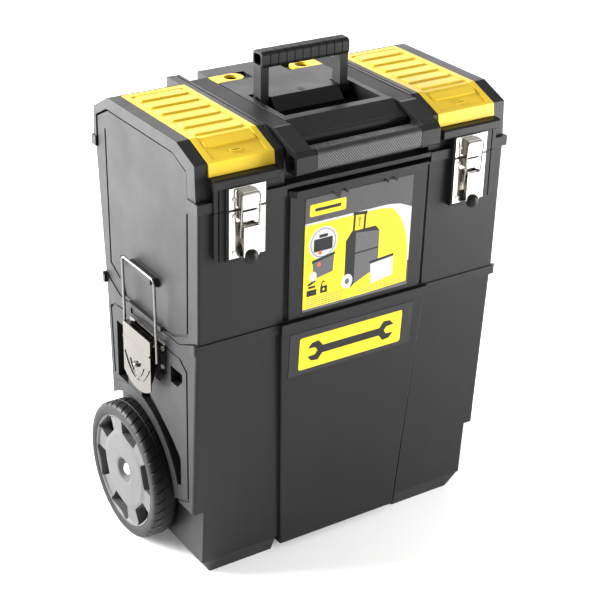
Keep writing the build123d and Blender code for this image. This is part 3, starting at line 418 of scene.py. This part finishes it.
def tyre(side_name, side):
    """Tyre with rounded shoulders and slanted cuts round the tread."""
    node = f"wheel_tyre_{side_name}"
    low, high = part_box(node)
    axis_y, axis_z = (low[1] + high[1]) / 2, (low[2] + high[2]) / 2
    crown = (high[2] - low[2]) / 2
    inner_x = min(abs(low[0]), abs(high[0]))
    pitch = 2 * math.pi / CUTS
    vertices, faces = [], []
    for across, drop, depth in TYRE_ROWS:
        lean = CUT_LEAN * across
        for cut in range(CUTS):
            for fraction, sunk in CUT_COLUMNS:
                angle = (cut + fraction + lean) * pitch
                radius = crown - (drop + depth * sunk) * MM
                y = axis_y + radius * math.cos(angle)
                z = axis_z + radius * math.sin(angle)
                vertices.append((side * (inner_x + across * MM), y, z))
    count = CUTS * len(CUT_COLUMNS)
    rows = len(TYRE_ROWS)
    for row in range(rows):
        here, there = row * count, (row + 1) % rows * count
        for i in range(count):
            after = (i + 1) % count
            faces.append((here + i, here + after, there + after, there + i))
    name = f"tyre_tread_{side_name}"
    piece = mesh_piece(name, vertices, faces, tyre_plastic, f"wheel_{side_name}")
    finish_mesh(piece)
    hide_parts(node)


# ---------------------------------------------------------------- Latch details


# Front latch knob, mm: half sizes, flat of its back, distance of its middle from the tip's rear and middle
KNOB_X, KNOB_Y, KNOB_Z = 8.0, 7.4, 8.2
KNOB_BACK_Y = 4.4
KNOB_FROM_REAR, KNOB_DROP = 4.6, 2.2
KNOB_ROWS, KNOB_COLUMNS, KNOB_LATITUDE = 15, 36, 84

# Padlock loop, mm: wire radius, half the distance between its arms
LOOP_GAUGE, LOOP_HALF = 2.7, 4.0
LOOP_STEPS, LOOP_COLUMNS = 24, 16

# Side lever ribs, mm: half length, height of their ends, sag of the middle, half width
LEVER_RIBS = [(31.0, 268.0, 26.0, 1.2), (17.0, 264.0, 17.0, 0.9)]
RIB_INSET, RIB_HEIGHT, RIB_STEPS = 1.2, 0.9, 24


def latch_knob(side_name):
    """Round plastic finger tip on the end of a front latch lever."""
    node = f"latch_tip_{side_name}"
    low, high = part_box(node)
    middle_x = (low[0] + high[0]) / 2
    middle_y = high[1] - KNOB_FROM_REAR * MM
    middle_z = (low[2] + high[2]) / 2 - KNOB_DROP * MM
    rings = []
    for row in range(KNOB_ROWS):
        latitude = math.radians(KNOB_LATITUDE * (2 * row / (KNOB_ROWS - 1) - 1))
        height = KNOB_Z * math.copysign(abs(math.sin(latitude)) ** 0.9, latitude)
        width = abs(math.cos(latitude)) ** 0.75
        ring = []
        for column in range(KNOB_COLUMNS):
            angle = 2 * math.pi * column / KNOB_COLUMNS
            x = KNOB_X * width * math.cos(angle)
            y = min(KNOB_BACK_Y, KNOB_Y * width * math.sin(angle))
            ring.append((middle_x + x * MM, middle_y + y * MM, middle_z + height * MM))
        rings.append(ring)
    body = f"front_lever_{side_name}"
    piece = ring_mesh(f"latch_knob_{side_name}", rings, handle_plastic, body)
    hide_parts(node)


def padlock_loop(side_name, side):
    """Stout formed loop on a side latch lever."""
    node = f"padlock_staple_{side_name}"
    low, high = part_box(node)
    root_x = side * min(abs(low[0]), abs(high[0]))
    tip_x = side * max(abs(low[0]), abs(high[0]))
    middle_z = (low[2] + high[2]) / 2
    gauge = LOOP_GAUGE * MM
    reach = tip_x - side * gauge - root_x
    rings = []
    for step in range(LOOP_STEPS + 1):
        turn = math.pi * step / LOOP_STEPS
        x, y = root_x + reach * math.sin(turn), LOOP_HALF * MM * math.cos(turn)
        outward = Vector((side * math.sin(turn), math.cos(turn), 0)).normalized()
        ring = []
        for column in range(LOOP_COLUMNS):
            angle = 2 * math.pi * column / LOOP_COLUMNS
            point = Vector((x, y, middle_z)) + outward * gauge * math.cos(angle)
            ring.append(tuple(point + Vector((0, 0, gauge * math.sin(angle)))))
        rings.append(ring)
    body = f"side_lever_{side_name}"
    piece = ring_mesh(f"padlock_loop_{side_name}", rings, loop_steel, body)
    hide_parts(node)


def lever_ribs(side_name, side):
    """Pressed ribs on the face of a side latch lever: two arcs that follow its lower edge."""
    low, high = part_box(f"side_latch_lever_{side_name}")
    face_x = side * (max(abs(low[0]), abs(high[0])) - RIB_INSET * MM)

    def place(u, v, height):
        return (face_x + side * height * MM, u * MM, v * MM)

    for index, (half, top, drop, width) in enumerate(LEVER_RIBS):
        upper, lower = [], []
        for step in range(RIB_STEPS + 1):
            share = -1 + 2 * step / RIB_STEPS
            y, z = half * share, top - drop * (1 - share**2)
            upper.append((y, z + width))
            lower.append((y, z - width))
        name = f"lever_rib_{index}_{side_name}"
        body = f"side_lever_{side_name}"
        slab(name, upper + lower[::-1], place, RIB_HEIGHT, shaded_side_latch_steel, body)


for side_name, side in SIDES.items():
    tyre(side_name, side)
    latch_knob(side_name)
    padlock_loop(side_name, side)
    lever_ribs(side_name, side)


# ---------------------------------------------------------------- Labels

# Thickness of a label in mm. The rest of its depth is the slope of the wall behind it
LABEL_THICK = 0.5


def label_face(node):
    """Places (u, v) in mm on the front of a thin label, at a height in mm above it."""
    low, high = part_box(node)
    front_low, front_high = high[1] - LABEL_THICK * MM, low[1]

    def place(u, v, height):
        share = (v * MM - low[2]) / (high[2] - low[2])
        return (u * MM, front_low + (front_high - front_low) * share - height * MM, v * MM)

    return place


def stack(prefix, place, body, layers):
    """Printed shapes on a label: each layer is a name, outline, material and height."""
    for name, outline, material, height in layers:
        slab(f"{prefix}_{name}", outline, place, height, material, body)


def disc(u, v, radius_u, radius_v):
    """A round or oval outline."""
    turn = [2 * math.pi * step / DISC_STEPS for step in range(DISC_STEPS)]
    return [(u + radius_u * math.cos(angle), v + radius_v * math.sin(angle)) for angle in turn]


def spanner(u0, u1, v, half, reach):
    """A double-ended spanner lying level: a shank with an open jaw at each end."""
    outline = []
    for end, u in ((1, u1), (-1, u0)):
        jaw = [(-reach * 0.55, -half), (-reach * 0.1, -reach), (reach * 0.62, -reach * 0.92)]
        jaw += [(reach * 1.05, -reach * 0.42), (reach * 0.25, -reach * 0.36), (0, 0)]
        jaw += [(reach * 0.25, reach * 0.36), (reach * 1.05, reach * 0.42)]
        jaw += [(reach * 0.62, reach * 0.92), (-reach * 0.1, reach), (-reach * 0.55, half)]
        outline += [(u + end * du, v + end * dv) for du, dv in jaw]
    return outline


def toolbox_print():
    """The large sticker: grey band, pale arc, yellow field and plain pictograms."""
    place = label_face("toolbox_sticker")
    arc = [(47, 454.6), (55, 447), (61, 438), (67, 425), (71, 412), (73.4, 397), (74, 380)]
    pale = [(-76, 460.5), (40, 460.5), (58, 458), (76, 450.5), (76, 380)]
    pale += arc[::-1] + [(30, 457.6), (-76, 458)]
    field = [(-76, 457.8), (30, 457.4)] + arc + [(74, 352), (-76, 347.6)]
    side_face = [(-18, 426), (-10, 437), (-4, 434), (-4, 367), (-8, 364), (-18, 371)]
    arrow = [(-0.6, 441), (1.4, 441), (1.4, 450), (3.4, 450), (0.4, 454.5), (-2.6, 450), (-0.6, 450)]
    shackle = [(-51, 375), (-51, 379.5), (-48.5, 382.5), (-45.5, 381.5), (-45.5, 379.5)]
    shackle += [(-47.8, 380.2), (-49.2, 378.6), (-49.2, 375)]
    layers = [
        ("field", field, label_yellow, 0.08),
        ("pale", pale, label_pale, 0.1),
        ("plate", rounded(-70, 468, -20, 483, 2), label_yellow, 0.08),
        ("plate_bar", rounded(-63, 473.5, -27, 477.5, 1.2), label_ink, 0.12),
        ("fold", rounded(-76, 347.2, 76, 350.2, 0.4), label_mid, 0.12),
        # Large pictogram of a wheeled box with its handle raised
        ("box_side", side_face, label_ink, 0.12),
        ("box_front", [(-4, 434), (30, 430), (30, 382), (-4, 367)], label_mid, 0.12),
        ("box_top", [(-10, 437), (-4, 434), (30, 430), (24, 437)], label_ink, 0.14),
        ("box_seam", [(-4, 408), (30, 409), (30, 407), (-4, 406)], label_ink, 0.16),
        ("post_left", [(-9, 437), (-6, 437), (-5, 459), (-8, 459)], label_ink, 0.16),
        ("post_right", [(6, 437), (9, 437), (10, 457), (7, 457)], label_ink, 0.16),
        ("handle", [(-9, 461), (11, 459), (11, 455), (-9, 457)], label_ink, 0.18),
        ("arrow", arrow, label_red, 0.16),
        ("wheel", disc(-14, 373, 8, 9.5), label_pale, 0.2),
        ("hub", disc(-14, 373, 3, 3.6), label_mid, 0.24),
        # Open case beside it
        ("case", [(19, 388), (52, 391), (53, 366), (21, 361)], label_pale, 0.2),
        ("case_bar", [(18, 391.5), (53, 394.5), (53, 391), (18, 388)], label_ink, 0.24),
        ("case_grip", [(30, 396.5), (42, 397.6), (42, 394.5), (30, 393.4)], label_yellow, 0.26),
        # Round inset with the lift-off box, above its bin
        ("inset", disc(-50, 432, 20, 20.5), label_pale, 0.12),
        ("inset_ring", disc(-50, 432, 17.6, 18.2), label_mid, 0.14),
        ("inset_disc", disc(-50, 432, 16.8, 17.4), label_pale, 0.16),
        ("inset_box", rounded(-63, 422, -37, 438, 1.5), label_ink, 0.2),
        ("inset_grip", rounded(-56, 439, -44, 443, 1.2), label_ink, 0.2),
        ("inset_dot", disc(-54, 420, 2.6, 2.6), label_red, 0.24),
        ("bin_front", [(-64, 409), (-34, 414), (-35, 392), (-62, 387)], label_mid, 0.18),
        ("bin_rim", [(-65, 411.5), (-33, 417), (-33, 413.5), (-65, 408)], label_ink, 0.2),
        ("bin_wheel", disc(-62.5, 391, 5, 6.2), label_pale, 0.22),
        ("bin_dot", disc(-55, 405, 2.6, 2.6), label_red, 0.22),
        # Two small icons: a box under a tray, and a padlock
        ("icon_box", rounded(-71, 366, -57, 374, 1), label_ink, 0.14),
        ("icon_tray", rounded(-69, 376, -59, 379, 0.8), label_ink, 0.14),
        ("icon_lid", [(-71, 381.5), (-61, 386.5), (-58, 384), (-68, 379.6)], label_ink, 0.14),
        ("icon_lock", rounded(-52, 366.5, -42, 375.5, 1), label_ink, 0.14),
        ("icon_keyhole", disc(-47, 371, 1.5, 1.8), label_yellow, 0.18),
        ("icon_shackle", shackle, label_ink, 0.14),
    ]
    # Thin bars where fine print would be: five on the left, three on the right
    for row in range(5):
        top = 363 - 2.6 * row
        bar = rounded(-71, top - 0.7, -18 - 3 * (row % 2), top, 0.3)
        layers.append((f"line_{row}", bar, label_mid, 0.12))
        if row < 3:
            bar = rounded(2, top - 4.6, 66, top - 4.0, 0.28)
            layers.append((f"line_right_{row}", bar, label_mid, 0.12))
    stack("sticker", place, "toolbox", layers)


def bin_print():
    """A plain yellow plate with a spanner, on the black film."""
    place = label_face("bin_label")
    layers = [
        ("plate", rounded(-78, 268, 72, 312.5, 3), label_yellow, 0.1),
        ("spanner", spanner(-52, 46, 290.2, 5.4, 13.5), label_ink, 0.16),
    ]
    stack("bin_label", place, "bin", layers)


toolbox_print()
bin_print()


# ---------------------------------------------------------------- Small moulded details


# Share of the mark's radius, height in mm above the face, from the rim inwards
GATE_PROFILE = [(1.0, -0.1), (1.0, 0.25), (0.86, 0.45), (0.74, 0.3)]
GATE_PROFILE += [(0.66, 0.12), (0.5, 0.2), (0.3, 0.42), (0.06, 0.5)]
GATE_X, GATE_Y, GATE_RADIUS = 0, 6, 5.0

# Teeth under the shelf, black so that they also stand for the shadow there (painted shade), mm: their
# middle, half width and drop
SHELF_TEETH_AND_SHADOWS = [(-35, 8.0, 13.0), (-21.5, 4.4, 9.0), (36, 4.0, 8.6), (48.5, 4.6, 9.0)]
SHELF_Z, TOOTH_INSET, TOOTH_THICK = 497.6, 1.2, 3.2


def surface_z(node, x, y):
    """Height in metres of the first face of a node under a point in mm."""
    hit, point, _, _ = nodes[node].ray_cast(Vector((x * MM, y * MM, 1.0)), Vector((0, 0, -1)))
    return point.z if hit else 0.0


def gate_mark():
    """A low dome inside a shallow ring, where the mould was filled."""
    base = surface_z("lid_shell", GATE_X, GATE_Y)
    rings = []
    for share, height in GATE_PROFILE:
        circle = disc(GATE_X, GATE_Y, GATE_RADIUS * share, GATE_RADIUS * share)
        rings.append([(x * MM, y * MM, base + height * MM) for x, y in circle])
    ring_mesh("gate_mark_plate", rings, lid_plastic, "lid")


def shelf_teeth_and_shadows():
    """Small clip teeth that hang under the shelf over the sticker, in the blackest plastic so that they
    also paint the shadow under the shelf.
    """
    low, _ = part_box("toolbox_sticker")

    def place(u, v, height):
        return (u * MM, low[1] + TOOTH_INSET * MM - height * MM, v * MM)

    for index, (x, half, drop) in enumerate(SHELF_TEETH_AND_SHADOWS):
        outline = [(x - half, SHELF_Z), (x + half * 0.6, SHELF_Z - drop), (x + half, SHELF_Z)]
        name = f"shelf_tooth_and_shadow_{index}"
        # Painted shade: tyre black, darker than the body plastic, for the shadow under the shelf
        slab(name, outline, place, TOOTH_THICK, tyre_plastic, "toolbox")


gate_mark()
shelf_teeth_and_shadows()


# ---------------------------------------------------------------- Stage, camera and lights

FLOOR_HALF = 60
FLOOR_GLOW = 0.12
SKY = 0.64
MIDDLE = (0, 0, 0.33)

# Viewpoint in metres and degrees, sensor and lens in mm
CAMERA_AT = (-0.96986, -1.45383, 1.17117)
CAMERA_YAW, CAMERA_PITCH, CAMERA_ROLL = 33.58, -26.74, 1.34
SENSOR, LENS, SHIFT_X = 36.0, 92.34, 0.0083


def area_light(name, position, target, size, power):
    """A soft rectangular lamp that looks at a target."""
    data = bpy.data.lights.new(name, "AREA")
    data.shape = "RECTANGLE"
    data.size, data.size_y = size
    data.energy = power
    lamp = bpy.data.objects.new(name, data)
    bpy.context.scene.collection.objects.link(lamp)
    lamp.location = position
    lamp.rotation_euler = (Vector(target) - Vector(position)).to_track_quat("-Z", "Y").to_euler()


def studio():
    """A pale floor, a white sky and three lamps."""
    mesh = bpy.data.meshes.new("studio_floor")
    corners = [(u * FLOOR_HALF, v * FLOOR_HALF, 0) for u, v in ((-1, -1), (1, -1), (1, 1), (-1, 1))]
    mesh.from_pydata(corners, [], [(0, 1, 2, 3)])
    floor = bpy.data.objects.new("studio_floor", mesh)
    bpy.context.scene.collection.objects.link(floor)
    s = Shader("studio_floor")
    haze = s.ramp(s.noise(0.7, 2.0), 0, 0.3, 0.7, 0.0, 1.0)
    pale = s.mix(haze, (0.86, 0.86, 0.86), (0.92, 0.92, 0.92))
    s.tree.links.new(pale.outputs[2], s.bsdf.inputs["Base Color"])
    s.bsdf.inputs["Roughness"].default_value = 0.7
    s.bsdf.inputs["Emission Color"].default_value = (1, 1, 1, 1)
    s.bsdf.inputs["Emission Strength"].default_value = FLOOR_GLOW
    mesh.materials.append(s.material)

    world = bpy.data.worlds.new("studio")
    bpy.context.scene.world = world
    world.use_nodes = True
    sky = world.node_tree.nodes["Background"]
    sky.inputs["Color"].default_value = (1, 1, 1, 1)
    sky.inputs["Strength"].default_value = SKY

    area_light("key_left", (-1.9, 1.5, 1.1), MIDDLE, (1.8, 1.6), 350)
    area_light("fill_right", (1.5, -0.95, 0.45), (0.12, 0, 0.4), (0.7, 0.6), 62)
    area_light("rear_soft", (1.2, 2.0, 1.4), MIDDLE, (1.6, 1.2), 16)


def camera():
    """The viewpoint: left of the front, looking down."""
    yaw, pitch, roll = (math.radians(turn) for turn in (CAMERA_YAW, CAMERA_PITCH, CAMERA_ROLL))
    level = math.cos(pitch)
    forward = Vector((math.sin(yaw) * level, math.cos(yaw) * level, math.sin(pitch)))
    right = Vector((math.cos(yaw), -math.sin(yaw), 0))
    up = right.cross(forward)
    turned_right = math.cos(roll) * right + math.sin(roll) * up
    turned_up = -math.sin(roll) * right + math.cos(roll) * up
    data = bpy.data.cameras.new("camera")
    data.sensor_width = SENSOR
    data.lens = LENS
    data.shift_x = SHIFT_X
    view = bpy.data.objects.new("camera", data)
    bpy.context.scene.collection.objects.link(view)
    turn = Matrix((turned_right, turned_up, -forward)).transposed()
    view.matrix_world = Matrix.Translation(CAMERA_AT) @ turn.to_4x4()
    bpy.context.scene.camera = view


studio()
camera()
bpy.context.scene.view_settings.view_transform = "Standard"
